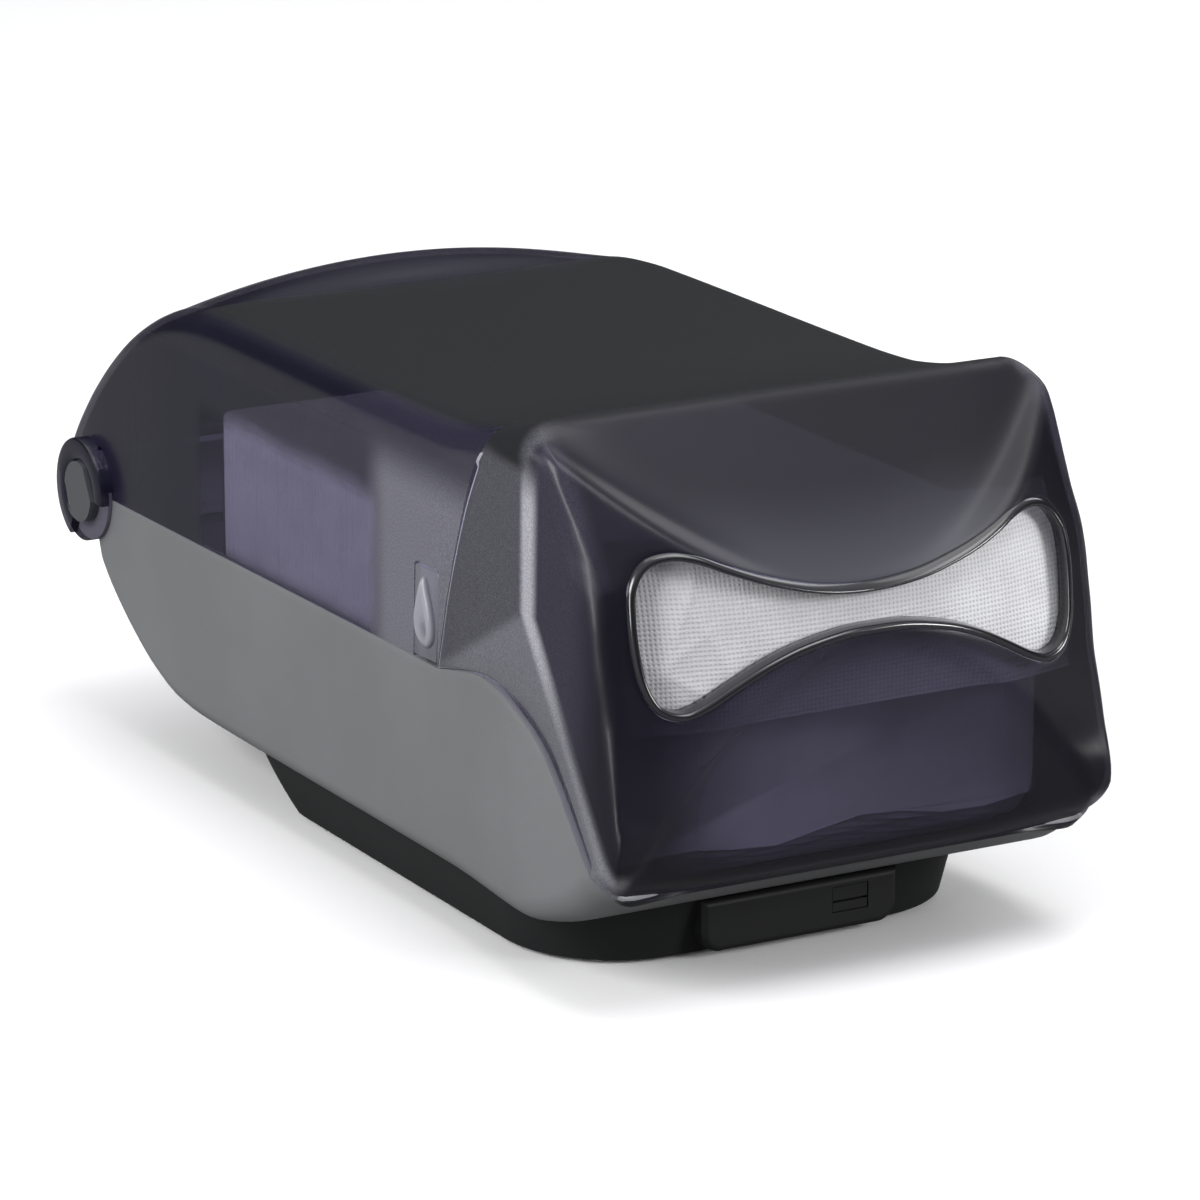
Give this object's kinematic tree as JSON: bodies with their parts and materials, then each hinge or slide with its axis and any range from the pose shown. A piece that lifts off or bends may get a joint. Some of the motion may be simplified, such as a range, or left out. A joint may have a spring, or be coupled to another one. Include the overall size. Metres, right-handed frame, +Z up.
{
  "type": "napkin dispenser",
  "caption": "Countertop napkin dispenser: tub body on a pedestal, smoked hinged cover, scooped faceplate with bow-tie opening, sprung napkin pusher.",
  "frame": {"origin": "bottom centre of the bounding box, on the table plane the feet rest on", "axes": "+Z up; -Y out of the napkin opening; +X to the right for a person facing the opening from the front"},
  "size_m": [0.191, 0.4146, 0.1842],
  "materials": {
    "body_grey": "fine matte moulded texture",
    "base_grey": "fine matte moulded texture",
    "smoked_plastic": "smoked translucent, violet-grey, satin grained sides",
    "rim_dark": "satin dark bead",
    "black_plastic": "matte",
    "white_plastic": "natural acetal",
    "steel": "zinc plated",
    "spring_steel": "bright spring strip",
    "foot_rubber": "soft matte",
    "napkin_paper": "white embossed tissue"
  },
  "bodies": {
    "housing": {"lower_body": "body_grey", "base_pedestal": "base_grey", "rubber_feet": "foot_rubber", "base_screws": "steel", "base_catch_spring": "spring_steel", "hinge_pin_left": "body_grey", "hinge_pin_right": "body_grey", "guide_rail_left": "black_plastic", "guide_rail_right": "black_plastic", "rail_screws": "steel", "spring_anchor_left": "black_plastic", "spring_anchor_right": "black_plastic", "anchor_screws": "steel", "napkin_stack": "napkin_paper", "lead_napkin": "napkin_paper"},
    "cover": {"cover_shell": "smoked_plastic", "faceplate": "smoked_plastic", "opening_rim": "rim_dark"},
    "latch_tab_left": {"latch_left": "smoked_plastic"},
    "latch_tab_right": {"latch_right": "smoked_plastic"},
    "pusher": {"pusher_plate": "black_plastic", "drum_bracket_left": "steel", "drum_bracket_right": "steel", "bracket_screws": "steel", "drum_pins": "steel", "pusher_spring_left": "spring_steel", "pusher_spring_right": "spring_steel"},
    "drum_left": {"spring_drum_left": "white_plastic"},
    "drum_right": {"spring_drum_right": "white_plastic"},
    "catch": {"base_catch": "base_grey"}
  },
  "joints": [
    {"name": "cover_hinge", "type": "hinge", "parent": "housing", "child": "cover", "pos_m": [0, 0.18288, 0.0848], "axis": [-1, 0, 0], "range_deg": [0, 100]},
    {"name": "latch_left_press", "type": "hinge", "parent": "cover", "child": "latch_tab_left", "pos_m": [-0.0888, -0.07612, 0.1192], "axis": [0, -1, 0], "range_deg": [0, 3.5], "stiffness_Nm_per_rad": 0.6},
    {"name": "latch_right_press", "type": "hinge", "parent": "cover", "child": "latch_tab_right", "pos_m": [0.0888, -0.07612, 0.1192], "axis": [0, 1, 0], "range_deg": [0, 3.5], "stiffness_Nm_per_rad": 0.6},
    {"name": "pusher_slide", "type": "slide", "parent": "housing", "child": "pusher", "axis": [0, -1, 0], "range_m": [0, 0.225], "deforming": ["pusher_spring_left", "pusher_spring_right", "napkin_stack"]},
    {"name": "drum_left_spin", "type": "hinge", "parent": "pusher", "child": "drum_left", "pos_m": [-0.0724, 0.10888, 0.046], "axis": [0, 0, -1], "range_deg": [0, 1200]},
    {"name": "drum_right_spin", "type": "hinge", "parent": "pusher", "child": "drum_right", "pos_m": [0.0724, 0.10888, 0.046], "axis": [0, 0, 1], "range_deg": [0, 1200]},
    {"name": "base_catch_push", "type": "slide", "parent": "housing", "child": "catch", "axis": [0, 1, 0], "range_m": [0, 0.0035], "stiffness_N_per_m": 400, "deforming": ["base_catch_spring"]}
  ],
  "couplings": [
    {"joint": "drum_left_spin", "follows": "pusher_slide", "rad_per_m": 81.97},
    {"joint": "drum_right_spin", "follows": "pusher_slide", "rad_per_m": 81.97}
  ]
}
